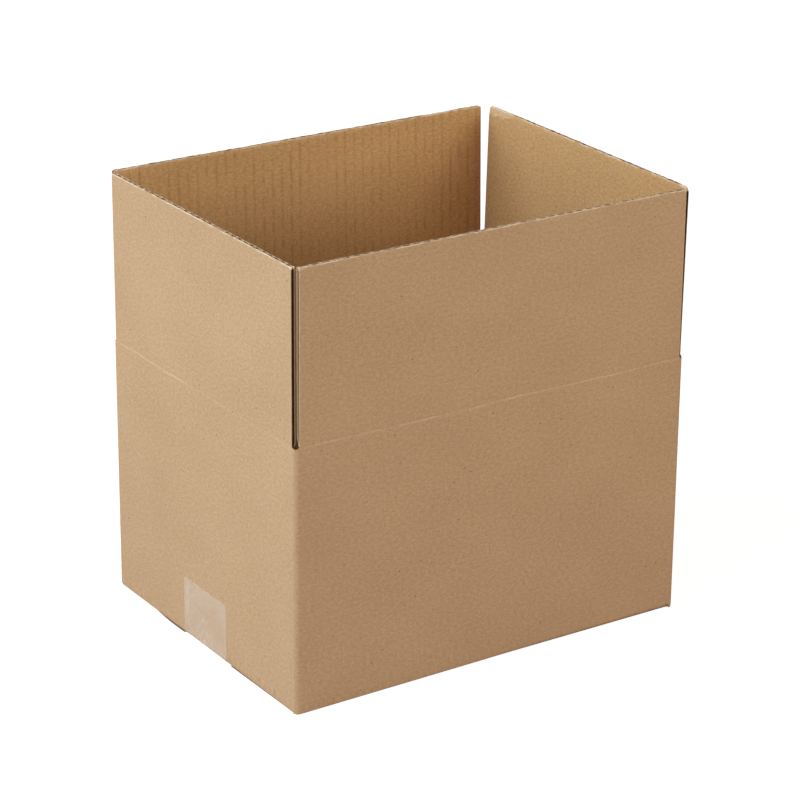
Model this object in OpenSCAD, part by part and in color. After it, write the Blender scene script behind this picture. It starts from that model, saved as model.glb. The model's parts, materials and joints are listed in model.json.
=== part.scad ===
// Open-topped slotted carton folded from one sheet of fluted board.
// The four top flaps stand upright and the floor is closed with clear tape.
// Millimetres. +X runs along the long side, the front faces -Y, +Z is up.
// The origin is the middle of the taped underside, on the surface it rests on.

/* [Carton] */
// Outside length, along the long walls
box_l = 269; // [180:1:400]
// Outside width, along the short walls
box_w = 206; // [140:1:300]
// Height of the top score lines above the surface the carton rests on
box_h = 162; // [80:1:300]

/* [Board] */
// Thickness of the board
board_t = 3; // [2.5:0.1:4.5]
// Distance from one flute to the next
flute_pitch = 6.5; // [5:0.1:9]
// Thickness of each liner sheet
liner_t = 0.35; // [0.25:0.05:0.6]
// Thickness of the fluted sheet, measured across the board
medium_t = 0.4; // [0.25:0.05:0.6]

/* [Scores and slots] */
// Board thickness left where a score is crushed
score_t = 1.2; // [0.8:0.1:2]
// Height of the crushed band on each side of a top score
score_band = 5; // [4:0.5:9]
// Gap at each hinge line between wall and flap
hinge_gap = 0.2; // [0.1:0.05:0.4]
// Clearance between boards that pass or lie on each other
fit_gap = 0.3; // [0.2:0.05:0.8]
// How far each corner slot runs past the scores into the wall
slot_cut = 0.5; // [0.2:0.1:5]
// Gap left at the seam where the long flaps meet
seam_gap = 1; // [0.4:0.1:6]

/* [Glued joint] */
// Width of the glue tab inside the right wall
tab_w = 35; // [20:1:45]
// Height that the tab loses at each end towards its free edge
tab_taper = 9; // [0:1:20]
// Distance of the tab's root from each score
tab_margin = 6; // [6:0.5:15]
// Set-back of the right wall's free edge from the back face
joint_gap = 0.5; // [0.2:0.1:2]

/* [Tape] */
// Width of the clear tape
tape_w = 48; // [25:1:75]
// Thickness of the tape with its adhesive
tape_t = 0.1; // [0.08:0.01:0.3]
// Height of the tape's tails on the short walls
tape_tail = 38; // [15:0.5:70]
// Distance of the tape's middle from the seam, towards the back
tape_shift = -1.8; // [-8:0.1:8]

/* [Flap positions] */
// Outward lean of the front flap from upright, in degrees
front_lean = 0; // [0:0.5:30]
// Outward lean of the back flap from upright, in degrees
back_lean = 1.5; // [0:0.5:30]
// Outward lean of the left flap from upright, in degrees
left_lean = 0; // [0:0.5:30]
// Outward lean of the right flap from upright, in degrees
right_lean = 1.5; // [0:0.5:30]

/* [Hidden] */
$fn = 48;

kraft_outside = [0.74, 0.60, 0.46];
kraft_inside = [0.66, 0.51, 0.36];
tape_colour = [0.80, 0.72, 0.62, 0.7];

// Half sizes of the outer faces
half_l = box_l / 2;
half_w = box_w / 2;

// A folded corner keeps the board's thickness round a sharp inner crease
fold_r = board_t;

// A flap or panel stops this far from the outer face of the wall beside it
slot_inset = board_t + fit_gap;

// One board lies this far above or below the board it covers
layer_step = board_t + fit_gap;

// The long flaps shut over the short ones, so their hinge lines sit half a step apart from the score
hinge_long = box_h + layer_step / 2;
hinge_short = box_h - layer_step / 2;

// The long flaps meet at the seam and all four end level, along the sheet's straight edge
flap_long = half_w - seam_gap / 2;
flap_short = flap_long + layer_step;

// Undersides of the outer and inner bottom flaps
foot_long = tape_t;
foot_short = foot_long + layer_step;

// Panel lengths between slots; the back wall turns into the tab inside the right wall
front_len = box_l - 2 * slot_inset;
back_len = front_len - board_t;
side_len = box_w - 2 * slot_inset;

// Turns from the front wall to each other wall
front_turn = 0;
left_turn = -90;
back_turn = 180;
right_turn = 90;

// The flutes stop above the crushed band
flute_foot = score_band + 1;

// Quarter disc between the -X and -Y axes
module quarter(r) {
    intersection() {
        circle(r = r);
        translate([-r, -r])
            square(r);
    }
}

// Section of one wall panel with its bottom flap, from the outer face at x = 0 inwards
module panel_section(foot_z, hinge_z, reach) {
    top = hinge_z - hinge_gap / 2;
    inner_foot = foot_z + board_t;
    polygon([
        [0, inner_foot],
        [0, top],
        [score_t, top - score_t],
        [board_t, hinge_z - score_band],
        [board_t, inner_foot],
    ]);
    translate([board_t, foot_z])
        square([reach - board_t, board_t]);
    translate([fold_r, inner_foot])
        quarter(fold_r);
}

// Wall panel and bottom flap between two slots, standing on the front face's line
module panel(length, foot_z, hinge_z, reach) {
    rotate([90, 0, 90])
        linear_extrude(height = length, center = true)
            panel_section(foot_z, hinge_z, reach);
}

// Upright corner fold between two slots, drawn at the front left corner
module corner_fold() {
    translate([0, 0, foot_long + slot_cut])
        linear_extrude(height = box_h - foot_long - 2 * slot_cut) {
            translate([fold_r, fold_r])
                quarter(fold_r);
            translate([fold_r, 0])
                square([slot_inset - fold_r, board_t]);
            translate([0, fold_r])
                square([board_t, slot_inset - fold_r]);
        }
}

// Free edge of the right wall, which covers the folded glue tab
module joint_edge() {
    translate([half_l - board_t, half_w - slot_inset, foot_long + slot_cut])
        cube([board_t, slot_inset - joint_gap, box_h - foot_long - 2 * slot_cut]);
}

// Glue tab, folded from the back wall and flat against the inside of the right wall
module glue_tab() {
    low = foot_short + board_t + tab_margin;
    high = hinge_short - score_band - tab_margin;
    translate([half_l - 2 * board_t, half_w - board_t, 0])
        rotate([90, 0, 90])
            linear_extrude(height = board_t)
                polygon([
                    [0, low],
                    [-tab_w, low + tab_taper],
                    [-tab_w, high - tab_taper],
                    [0, high],
                ]);
}

// The folded sheet without its four top flaps
module box_body() {
    color(kraft_outside) {
        translate([0, -half_w, 0])
            panel(front_len, foot_long, hinge_long, flap_long);
        rotate([0, 0, back_turn])
            translate([board_t / 2, -half_w, 0])
                panel(back_len, foot_long, hinge_long, flap_long);
        rotate([0, 0, left_turn])
            translate([0, -half_l, 0])
                panel(side_len, foot_short, hinge_short, flap_short);
        rotate([0, 0, right_turn])
            translate([0, -half_l, 0])
                panel(side_len, foot_short, hinge_short, flap_short);
        translate([-half_l, -half_w, 0])
            corner_fold();
        translate([half_l, -half_w, 0])
            mirror([1, 0, 0])
                corner_fold();
        translate([-half_l, half_w, 0])
            mirror([0, 1, 0])
                corner_fold();
        translate([half_l - board_t, half_w, 0])
            rotate([0, 0, 180])
                corner_fold();
        joint_edge();
        glue_tab();
    }
}

// Height of the fluted sheet's middle across the board, at a share of the pitch from a crest
function wave(share) = board_t / 2 + (board_t / 2 - liner_t - medium_t / 2) * cos(360 * share);

// Hollow between the outer liner and one crest of the fluted sheet
function hollow_outline() = concat(
    [[-0.46 * flute_pitch, liner_t]],
    [for (share = [-0.25, -0.1, 0.1, 0.25]) [share * flute_pitch, wave(share) - medium_t / 2]],
    [[0.46 * flute_pitch, liner_t]]
);

// Section of the board across its flutes, cut off at both ends
module fluted_section(length) {
    crests = ceil(length / flute_pitch / 2) + 1;
    difference() {
        translate([-length / 2, 0])
            square([length, board_t]);
        for (i = [-crests : crests]) {
            translate([i * flute_pitch, 0])
                polygon(hollow_outline());
            translate([(i + 0.5) * flute_pitch, board_t])
                mirror([0, 1])
                    polygon(hollow_outline());
        }
    }
}

// Section of a flap's root, from the hinge line through the crushed band
module root_section() {
    foot = hinge_gap / 2;
    polygon([
        [0, foot],
        [score_t, foot + score_t],
        [board_t, score_band],
        [board_t, flute_foot],
        [0, flute_foot],
    ]);
}

// Upright flap with its hinge line on the X axis and its inner face towards +Y
module flap(length, height) {
    rotate([90, 0, 90])
        linear_extrude(height = length, center = true)
            root_section();
    translate([0, 0, flute_foot])
        linear_extrude(height = height - flute_foot)
            fluted_section(length);
}

// Long flap of the front wall
module front_flap() {
    color(kraft_outside)
        rotate([0, 0, front_turn])
            translate([0, -half_w, hinge_long])
                rotate([front_lean, 0, 0])
                    flap(front_len, flap_long);
}

// Long flap of the back wall
module back_flap() {
    color(kraft_inside)
        rotate([0, 0, back_turn])
            translate([board_t / 2, -half_w, hinge_long])
                rotate([back_lean, 0, 0])
                    flap(back_len, flap_long);
}

// Short flap of the left wall
module left_flap() {
    color(kraft_outside)
        rotate([0, 0, left_turn])
            translate([0, -half_l, hinge_short])
                rotate([left_lean, 0, 0])
                    flap(side_len, flap_short);
}

// Short flap of the right wall
module right_flap() {
    color(kraft_inside)
        rotate([0, 0, right_turn])
            translate([0, -half_l, hinge_short])
                rotate([right_lean, 0, 0])
                    flap(side_len, flap_short);
}

// Section of the tape round one lower edge, with its bend's centre at the origin
module tape_bend(inner_r) {
    difference() {
        quarter(inner_r + tape_t);
        circle(r = inner_r);
    }
}

// Clear tape along the seam and up both short walls
module bottom_tape() {
    bend_z = tape_t + slot_inset;
    color(tape_colour)
        translate([0, tape_shift, 0])
            rotate([90, 0, 0])
                linear_extrude(height = tape_w, center = true) {
                    translate([-half_l + slot_inset, 0])
                        square([box_l - 2 * slot_inset, tape_t]);
                    for (side = [0, 1])
                        mirror([side, 0]) {
                            translate([-half_l + slot_inset, bend_z])
                                tape_bend(slot_inset);
                            translate([-half_l - tape_t, bend_z])
                                square([tape_t, tape_tail - bend_z]);
                        }
                }
}

box_body();
front_flap();
back_flap();
left_flap();
right_flap();
bottom_tape();
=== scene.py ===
"""Open carton of fluted board: the looks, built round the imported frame.

Every length is in metres, in the frame's own axes: +X along the long walls, -Y towards the front
and +Z up. On a wall or flap, s runs across the flutes, d inwards from the outer face, and z up.
"""
import json
import logging
import math
from dataclasses import dataclass, field
from enum import Enum
from typing import Callable

import bpy
import numpy as np
from mathutils import Matrix, Vector


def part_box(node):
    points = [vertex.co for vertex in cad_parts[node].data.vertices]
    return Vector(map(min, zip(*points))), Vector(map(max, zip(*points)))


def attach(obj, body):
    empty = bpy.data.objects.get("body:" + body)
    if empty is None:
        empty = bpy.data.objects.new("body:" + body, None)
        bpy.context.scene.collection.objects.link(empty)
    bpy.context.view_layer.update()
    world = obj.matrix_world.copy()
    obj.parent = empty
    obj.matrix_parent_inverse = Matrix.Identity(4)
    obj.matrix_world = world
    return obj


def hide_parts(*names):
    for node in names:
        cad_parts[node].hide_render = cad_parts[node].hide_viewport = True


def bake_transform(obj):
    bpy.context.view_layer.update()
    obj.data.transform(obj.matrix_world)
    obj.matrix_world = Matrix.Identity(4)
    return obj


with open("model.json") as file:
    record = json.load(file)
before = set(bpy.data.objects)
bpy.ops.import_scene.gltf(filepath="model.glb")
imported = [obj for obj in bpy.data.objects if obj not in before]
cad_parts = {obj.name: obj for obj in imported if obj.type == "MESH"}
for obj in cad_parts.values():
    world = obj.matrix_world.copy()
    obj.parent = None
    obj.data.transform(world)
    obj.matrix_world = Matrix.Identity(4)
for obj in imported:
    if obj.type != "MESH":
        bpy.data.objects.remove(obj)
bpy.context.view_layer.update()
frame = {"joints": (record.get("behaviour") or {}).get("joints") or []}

LOG = logging.getLogger("carton")
MM = 0.001
TURN = 2 * math.pi
QUARTER = math.pi / 2
Colour = tuple[float, float, float]


def smooth(share: np.ndarray) -> np.ndarray:
    """Eases a share, held to 0 to 1, with level ends."""
    held = np.clip(share, 0.0, 1.0)
    return held * held * (3.0 - 2.0 * held)


def within(gap: np.ndarray, reach: float) -> np.ndarray:
    """Eases from 1 where a gap is closed to 0 where it is as wide as the reach."""
    return smooth(1.0 - gap / reach)


def ridge(offset: np.ndarray, width: float) -> np.ndarray:
    """A soft ridge, 1 high where the offset is 0."""
    return np.exp(-((offset / width) ** 2))


def lengths(x: np.ndarray, y: np.ndarray) -> np.ndarray:
    """Length of a flat line from its start to each of its points."""
    return np.concatenate([[0.0], np.cumsum(np.hypot(np.diff(x), np.diff(y)))])


def linear(*levels: float) -> Colour:
    """Turns a colour in screen levels, 0 to 255, into a shader's colour."""
    shares = [level / 255 for level in levels]
    return tuple(v / 12.92 if v <= 0.04045 else ((v + 0.055) / 1.055) ** 2.4 for v in shares)


class Unevenness:
    """Smooth seeded noise over a plane, from -1 to 1."""

    CELLS = 128

    def __init__(self, seed: int) -> None:
        """Fills the lattice of random heights, which the seed fixes."""
        self.heights = np.random.default_rng(seed).uniform(-1.0, 1.0, (self.CELLS, self.CELLS))

    def at(self, across: np.ndarray, up: np.ndarray, size: float) -> np.ndarray:
        """Reads the noise.

        Args:
            across: First coordinate of each point, in metres.
            up: Second coordinate of each point, in metres.
            size: Width of one bump, in metres.

        Returns:
            One height for each point.
        """
        x, y = np.broadcast_arrays(np.asarray(across) / size, np.asarray(up) / size)
        column, row = np.floor(x).astype(int), np.floor(y).astype(int)
        share_x, share_y = smooth(x - column), smooth(y - row)
        corners = [[self.heights[(column + i) % self.CELLS, (row + j) % self.CELLS]
                    for i in (0, 1)] for j in (0, 1)]
        low, high = (left * (1 - share_x) + right * share_x for left, right in corners)
        return low * (1 - share_y) + high * share_y

    def bumps(self, across: np.ndarray, up: np.ndarray, size: float) -> np.ndarray:
        """The noise with its hollows filled in."""
        return np.maximum(0.0, self.at(across, up, size))


def operator(operation: str) -> tuple[Callable, Callable]:
    """Makes one of Python's operators from a Math node's operation.

    Args:
        operation: The node's operation.

    Returns:
        The operator's method, and its reflected form, where a plain number comes first.
    """
    def plain(self: "Value", other: "Value | float") -> "Value":
        """The operation on two values."""
        return self.math(operation, self, other)

    def reflected(self: "Value", other: float) -> "Value":
        """The operation with a plain number first."""
        return self.math(operation, other, self)

    return plain, reflected


class Value:
    """A number in a node tree, on which Python's arithmetic adds Math nodes."""

    def __init__(self, nodes: "Nodes", socket: bpy.types.NodeSocket) -> None:
        """Wraps the output that holds the number."""
        self.nodes = nodes
        self.socket = socket

    def math(self, operation: str, *values: "Value | float") -> "Value":
        """Adds one Math node on the values, in their order, and gives its result."""
        return self.nodes.value("ShaderNodeMath", {"operation": operation}, dict(enumerate(values)))

    __add__, __radd__ = operator("ADD")
    __sub__, __rsub__ = operator("SUBTRACT")
    __mul__, __rmul__ = operator("MULTIPLY")
    __truediv__, __rtruediv__ = operator("DIVIDE")
    __pow__, __rpow__ = operator("POWER")

    def __abs__(self) -> "Value":
        """Size without the sign."""
        return self.math("ABSOLUTE", self)

    def cosine(self) -> "Value":
        """Cosine of an angle in radians."""
        return self.math("COSINE", self)

    def larger(self, other: "Value | float") -> "Value":
        """The larger of two values."""
        return self.math("MAXIMUM", self, other)

    def above(self, limit: "Value | float") -> "Value":
        """1 where the value is over the limit, and 0 elsewhere."""
        return self.math("GREATER_THAN", self, limit)

    def between(self, low: float, high: float) -> "Value":
        """Eases from 0 at one value to 1 at another.

        Args:
            low: Where the result leaves 0.
            high: Where the result reaches 1.

        Returns:
            The eased value.
        """
        inputs = {"Value": self, "From Min": low, "From Max": high}
        eased = {"interpolation_type": "SMOOTHSTEP"}
        return self.nodes.value("ShaderNodeMapRange", eased, inputs, "Result")


class Nodes:
    """Adds nodes to one tree."""

    def __init__(self, tree: bpy.types.NodeTree) -> None:
        """Takes a tree over and empties it."""
        self.tree = tree
        self.tree.nodes.clear()

    def node(self, kind: str, settings: dict, inputs: dict) -> bpy.types.Node:
        """Adds a node, with its settings first and its inputs after.

        Args:
            kind: The node's type.
            settings: Attribute names and values.
            inputs: What each socket gets, by its name or number: see _feed. A list holds what a
                socket for several links gets, in order.

        Returns:
            The new node.
        """
        node = self.tree.nodes.new(kind)
        for name, setting in settings.items():
            setattr(node, name, setting)
        for name, given in inputs.items():
            for one in given if isinstance(given, list) else [given]:
                self._feed(node.inputs[name], one)
        return node

    def _feed(self, socket: bpy.types.NodeSocket, given: object) -> None:
        """Links or sets a socket.

        Args:
            socket: The input.
            given: A Value, an output, a node whose first output is meant, or a plain value.
        """
        if isinstance(given, bpy.types.Node):
            given = given.outputs[0]
        elif isinstance(given, Value):
            given = given.socket
        if isinstance(given, bpy.types.NodeSocket):
            self.tree.links.new(given, socket)
        else:
            socket.default_value = given

    def value(self, kind: str, settings: dict, inputs: dict, output: "str | int" = 0) -> Value:
        """Adds a node as above and gives one of its outputs as a Value."""
        return Value(self, self.node(kind, settings, inputs).outputs[output])

    def seen(self) -> Value:
        """1 for what the camera sees directly, and 0 for all other light."""
        return self.value("ShaderNodeLightPath", {}, {}, "Is Camera Ray")


@dataclass(frozen=True)
class Grain:
    """Noise on the flat sheet: its cells for each metre across and along, and its finer layers."""

    across: float
    along: float
    layers: float = 2.0
    rough: float = 0.5


class Paint(Nodes):
    """The nodes of a new material."""

    def __init__(self, name: str) -> None:
        """Makes an empty material.

        Args:
            name: The material's name.
        """
        self.material = bpy.data.materials.new(name)
        self.material.use_nodes = True
        super().__init__(self.material.node_tree)

    def sheet(self) -> bpy.types.Node:
        """Flat-sheet coordinates."""
        return self.node("ShaderNodeUVMap", {"uv_map": "blank"}, {})

    def cells(self, across: float, along: float) -> bpy.types.Node:
        """Flat-sheet coordinates in cells, so many for each metre."""
        scale = {0: self.sheet(), 1: (across, along, 1.0)}
        return self.node("ShaderNodeVectorMath", {"operation": "MULTIPLY"}, scale)

    def noise(self, grain: Grain) -> Value:
        """Adds noise about 0.5.

        Args:
            grain: Its cells and layers.

        Returns:
            The noise value.
        """
        where = self.cells(grain.across, grain.along)
        inputs = {"Vector": where, "Scale": 1.0, "Detail": grain.layers, "Roughness": grain.rough}
        return self.value("ShaderNodeTexNoise", {}, inputs)

    def across(self) -> Value:
        """Distance across the flutes on the flat sheet."""
        return self.value("ShaderNodeSeparateXYZ", {}, {0: self.sheet()})

    def ribs(self, pitch: float) -> Value:
        """Waves across the flutes, from -0.5 to 0.5, highest over the outer crests."""
        return (self.across() * (TURN / pitch)).cosine() * 0.5

    def wear(self) -> Value:
        """The paleness stored on the mesh, from wearing and painted highlights."""
        return self.value("ShaderNodeAttribute", {"attribute_name": "wear"}, {}, "Fac")

    def mix(self, factor: Value, first: "Colour | bpy.types.NodeSocket",
            second: "Colour | bpy.types.NodeSocket") -> bpy.types.NodeSocket:
        """Blends two colours.

        Args:
            factor: Share of the second colour.
            first: A colour or a colour output.
            second: A colour or a colour output.

        Returns:
            The blended colour output.
        """
        held = [(*c, 1.0) if isinstance(c, tuple) else c for c in (first, second)]
        inputs = {0: factor, 6: held[0], 7: held[1]}
        return self.node("ShaderNodeMix", {"data_type": "RGBA"}, inputs).outputs[2]

    def surface(self, inputs: dict, height: Value, depth: float) -> bpy.types.Material:
        """Ends the material in a Principled shader with a relief.

        Args:
            inputs: The shader's inputs.
            height: Height of the relief, from 0 to 1.
            depth: Depth of the relief in metres.

        Returns:
            The finished material.
        """
        relief = {"Height": height, "Distance": depth, "Strength": 1.0}
        inputs = {**inputs, "Normal": self.node("ShaderNodeBump", {}, relief)}
        shader = self.node("ShaderNodeBsdfPrincipled", {}, inputs)
        self.node("ShaderNodeOutputMaterial", {}, {0: shader})
        return self.material


@dataclass(frozen=True)
class KraftFinish:
    """Brown kraft liner: fibre grain, stray specks and, inside, broken lines over the flutes."""

    name: str
    dark: Colour
    light: Colour
    worn: Colour
    pitch: float
    mottling: float = 0.55
    streaks: float = 0.0
    washboard: float = 0.06
    roughness: float = 0.86
    relief: float = 0.17 * MM
    plain_from: float = 0.0
    plain_to: float = 0.0
    plain_soft: float = 20 * MM
    fibre: Grain = Grain(760, 900, 2, 0.6)
    mottle: Grain = Grain(380, 620, 2, 0.6)
    threads: Grain = Grain(330, 1500, 2, 0.6)
    clouds: Grain = Grain(16, 21)
    broken: Grain = Grain(30, 12)
    dashes: Grain = Grain(150, 120, 1)
    speck_cells: tuple[float, float] = (270, 350)

    def _crest(self, b: Paint) -> Value:
        """Height over each flute, with one stretch of the sheet almost plain.

        Args:
            b: The material's nodes.

        Returns:
            The height, 0 to 1.
        """
        across, soft = b.across(), self.plain_soft
        plain = across.between(self.plain_from - soft, self.plain_from) - across.between(
            self.plain_to, self.plain_to + soft)
        return (b.ribs(self.pitch) + 0.5) * (1.0 - plain * 0.9)

    def _tone(self, b: Paint, fibre: Value, mottle: Value, crest: Value) -> Value:
        """Share of the light colour over the sheet.

        Args:
            b: The material's nodes.
            fibre: Fine noise.
            mottle: Coarser noise.
            crest: Height over each flute, 0 to 1.

        Returns:
            The share, about 0.5.
        """
        threads, clouds = b.noise(self.threads), b.noise(self.clouds)
        tone = ((fibre - 0.5) * 1.1 + (mottle - 0.5) * 1.1
                + (clouds - 0.5) * 0.45 + (threads - 0.5) * 0.5)
        broken = b.noise(self.broken).between(0.32, 0.62)
        dashes = b.noise(self.dashes).between(0.34, 0.66)
        lines = (crest ** 9.0) * broken * dashes + (crest ** 2.0) * 0.04
        return tone * self.mottling + 0.5 - lines * self.streaks

    def _specks(self, b: Paint, kraft: bpy.types.NodeSocket) -> bpy.types.NodeSocket:
        """Scatters dark specks and pale fibres over a colour.

        Args:
            b: The material's nodes.
            kraft: The colour beneath.

        Returns:
            The colour with specks.
        """
        where = {"Vector": b.cells(*self.speck_cells), "Scale": 1.0}
        cells = b.node("ShaderNodeTexVoronoi", {}, where)
        chance = b.node("ShaderNodeSeparateColor", {}, {0: cells.outputs["Color"]})
        near = Value(b, cells.outputs["Distance"])
        dark = (0.17 - near).between(0.0, 0.05) * Value(b, chance.outputs[0]).above(0.972)
        pale = (0.10 - near).between(0.0, 0.06) * Value(b, chance.outputs[1]).above(0.93)
        kraft = b.mix(pale * 0.6, kraft, self.worn)
        return b.mix(dark * 0.75, kraft, tuple(0.32 * c for c in self.dark))

    def material(self) -> bpy.types.Material:
        """Builds the material.

        Returns:
            The finished material.
        """
        b = Paint(self.name)
        fibre, mottle, crest = b.noise(self.fibre), b.noise(self.mottle), self._crest(b)
        share = self._tone(b, fibre, mottle, crest)
        kraft = self._specks(b, b.mix(share.between(0.0, 1.0), self.dark, self.light))
        # Pale where the stored paleness says: real wearing, and painted highlights along the score
        # and the free edge.
        wear = b.wear() * (fibre * 0.9 + 0.55)
        kraft = b.mix(wear.between(0.0, 1.0), kraft, self.worn)
        height = fibre * 0.6 + mottle * 0.3 + crest * self.washboard
        inputs = {"Base Color": kraft, "Roughness": (mottle - 0.5) * 0.12 + self.roughness,
                  "Specular IOR Level": 0.28}
        return b.surface(inputs, height, self.relief)


@dataclass(frozen=True)
class RawPaperFinish:
    """Raw paper that the liners hide, or a cut edge: dry, fibrous, and pale where it is torn.

    The pale torn colour is held back over the hollows between the flutes, leaving them dark as
    painted shade of the cavities, by as much as breaks says.
    """

    name: str
    dark: Colour
    light: Colour
    torn: Colour
    pitch: float
    cells: float = 800.0
    breaks: float = 0.95
    patches: Grain = Grain(120, 120)
    gaps: Grain = Grain(90, 3, 2, 0.6)
    relief: float = 0.08 * MM

    def material(self) -> bpy.types.Material:
        """Builds the material.

        Returns:
            The finished material.
        """
        b = Paint(self.name)
        fibres = b.noise(Grain(self.cells, self.cells * 1.2, 3, 0.65))
        share = (fibres - 0.5) * 1.2 + (b.noise(self.patches) - 0.5) * 0.6 + 0.5
        colour = b.mix(share.between(0.0, 1.0), self.dark, self.light)
        # Painted shade: the torn colour thins out away from where the paper meets and most in the
        # hollows, so the openings read dark.
        hollow, touch = 0.5 - b.ribs(self.pitch), 0.5 - b.ribs(self.pitch / 2)
        shaded_gaps = b.noise(self.gaps).between(0.36, 0.58)
        whole = 1.08 - touch * (self.breaks * 0.55) - (hollow ** 2.0) * (shaded_gaps * self.breaks)
        wear = b.wear() * (fibres * 0.9 + 0.55) * whole
        colour = b.mix(wear.between(0.0, 1.0), colour, self.torn)
        inputs = {"Base Color": colour, "Roughness": 0.94, "Specular IOR Level": 0.18}
        return b.surface(inputs, fibres, self.relief)


@dataclass(frozen=True)
class TapeFinish:
    """Clear packing tape: a thin glossy film over milky, streaked adhesive."""

    name: str
    film: Colour
    least: float = 0.13
    most: float = 0.40
    milk: Grain = Grain(46, 60, 3, 0.55)
    streaks: Grain = Grain(420, 40, 2, 0.6)
    bubbles: Grain = Grain(520, 520)
    relief: float = 0.05 * MM

    def material(self) -> bpy.types.Material:
        """Builds the material, whose alpha goes from least to most.

        Returns:
            The finished material.
        """
        b = Paint(self.name)
        milk, streaks, bubbles = (b.noise(g) for g in (self.milk, self.streaks, self.bubbles))
        cloud = (milk - 0.5) * 1.0 + (streaks - 0.5) * 0.25 + (bubbles - 0.5) * 0.35 + 0.40
        # The stored milkiness includes painted highlights along the wrinkles.
        alpha = (cloud.between(0.0, 1.0) + b.wear() * 0.8) * (self.most - self.least) + self.least
        inputs = {"Base Color": (*self.film, 1.0), "Alpha": alpha,
                  "Roughness": (bubbles - 0.5) * 0.2 + 0.30, "IOR": 1.48}
        return b.surface(inputs, streaks * 0.3 + bubbles * 0.5 + b.wear() * 4.0, self.relief)


class Side(Enum):
    """The four walls, counted round the box in quarter turns from the front."""

    FRONT = 0
    RIGHT = 1
    BACK = 2
    LEFT = 3

    @property
    def word(self) -> str:
        """The side's name in pieces' names."""
        return self.name.lower()

    @property
    def flap(self) -> str:
        """Node and body of its top flap."""
        return f"{self.word}_flap"

    @property
    def is_long(self) -> bool:
        """True for the front and back walls."""
        return self in (Side.FRONT, Side.BACK)

    @property
    def along(self) -> np.ndarray:
        """Direction across the flutes."""
        turn = self.value * QUARTER
        return np.array([round(math.cos(turn)), round(math.sin(turn)), 0.0])

    @property
    def inward(self) -> np.ndarray:
        """Direction from the outer face into the box."""
        return np.array([-self.along[1], self.along[0], 0.0])


@dataclass
class Panel:
    """One wall with its flaps: where it stands and, from low to high, how far its flaps reach."""

    side: Side
    low: float
    high: float
    half_depth: float
    hinge_z: float
    foot_z: float
    lean: float
    phase: float
    lean_band: float = 2.4 * MM

    def place(self, s: np.ndarray, d: np.ndarray, z: np.ndarray) -> np.ndarray:
        """Turns the wall's own coordinates into the frame's.

        Args:
            s: Distance across the flutes from the wall's middle.
            d: Depth from the outer face.
            z: Height.

        Returns:
            Points, with x, y and z on the last axis.
        """
        s, d, z = np.broadcast_arrays(s, d, z)
        depth = (d - self.half_depth)[..., None]
        points = s[..., None] * self.side.along + depth * self.side.inward
        points[..., 2] = z
        return points

    def leaned(self, d: np.ndarray, z: np.ndarray) -> tuple[np.ndarray, np.ndarray]:
        """Leans depth and height outwards above the hinge line, eased in over the score.

        Args:
            d: Depth from the outer face.
            z: Height.

        Returns:
            The leaned depth and height.
        """
        rise = z - self.hinge_z
        angle = self.lean * smooth(rise / self.lean_band + 0.5)
        sine, cosine = np.sin(angle), np.cos(angle)
        return d * cosine - rise * sine, self.hinge_z + d * sine + rise * cosine


@dataclass
class Board:
    """The folded board's sizes, read from the frame, and what all its pieces share."""

    FLUTES_A_WALL = 52    # that each wall takes on the flat sheet
    PHASES = {Side.FRONT: 0.94, Side.RIGHT: 0.22, Side.BACK: 0.4, Side.LEFT: 0.78}   # in flutes

    liner: float = 0.35 * MM
    medium: float = 0.30 * MM
    pitch: float = 6.5 * MM
    score: float = 1.4 * MM
    band: float = 4.0 * MM
    joint_gap: float = 0.5 * MM
    inner_bend: float = 0.3 * MM
    column: float = 1.2 * MM
    columns_a_flute: int = 12
    panels: list[Panel] = field(default_factory=list)

    def __post_init__(self) -> None:
        """Reads the frame's boxes and joints."""
        body_low, body_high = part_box("box_body")
        flap_low, flap_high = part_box(Side.FRONT.flap)
        self.base = body_low.z
        self.half_l, self.half_w = body_high.x, body_high.y
        self.thickness = flap_high.y - flap_low.y
        self.inset = self.half_l - flap_high.x
        self.flap_top = flap_high.z
        joints = {joint["child"]: joint for joint in frame["joints"]}
        for side in Side:
            joint = joints[side.flap]
            low, high = sorted(float(np.dot(end, side.along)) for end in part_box(side.flap))
            self.panels.append(Panel(
                side, low, high,
                half_depth=self.half_w if side.is_long else self.half_l,
                hinge_z=joint["pos_m"][2],
                foot_z=self.base + (0.0 if side.is_long else self.inset),
                lean=math.radians(joint["range_deg"][1] - 90),
                phase=self.PHASES[side],
            ))
        self.score_z = sum(panel.hinge_z for panel in self.panels) / len(self.panels)

    def panel(self, side: Side) -> Panel:
        """The panel on one side."""
        return self.panels[side.value]

    def run(self, panel: Panel, s: np.ndarray) -> np.ndarray:
        """Flat-sheet distance of places on a wall, in step with the wall's flutes."""
        return s + (panel.side.value * self.FLUTES_A_WALL + panel.phase) * self.pitch

    def fold_drop(self, y: np.ndarray) -> np.ndarray:
        """How far the short walls' lower folds hang below their scores.

        Args:
            y: Place along the short walls.

        Returns:
            The drop in metres: more towards the front, and less where the tape pulls the fold up.
        """
        forward = (self.half_w - y) / (2 * self.half_w)
        pulled = ridge(y + 2 * MM, 32 * MM)
        wave = Unevenness(209).at(y, 0.6, 24 * MM)
        return (1.45 + 1.55 * forward - 0.38 * pulled + 0.08 * wave) * MM


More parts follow.
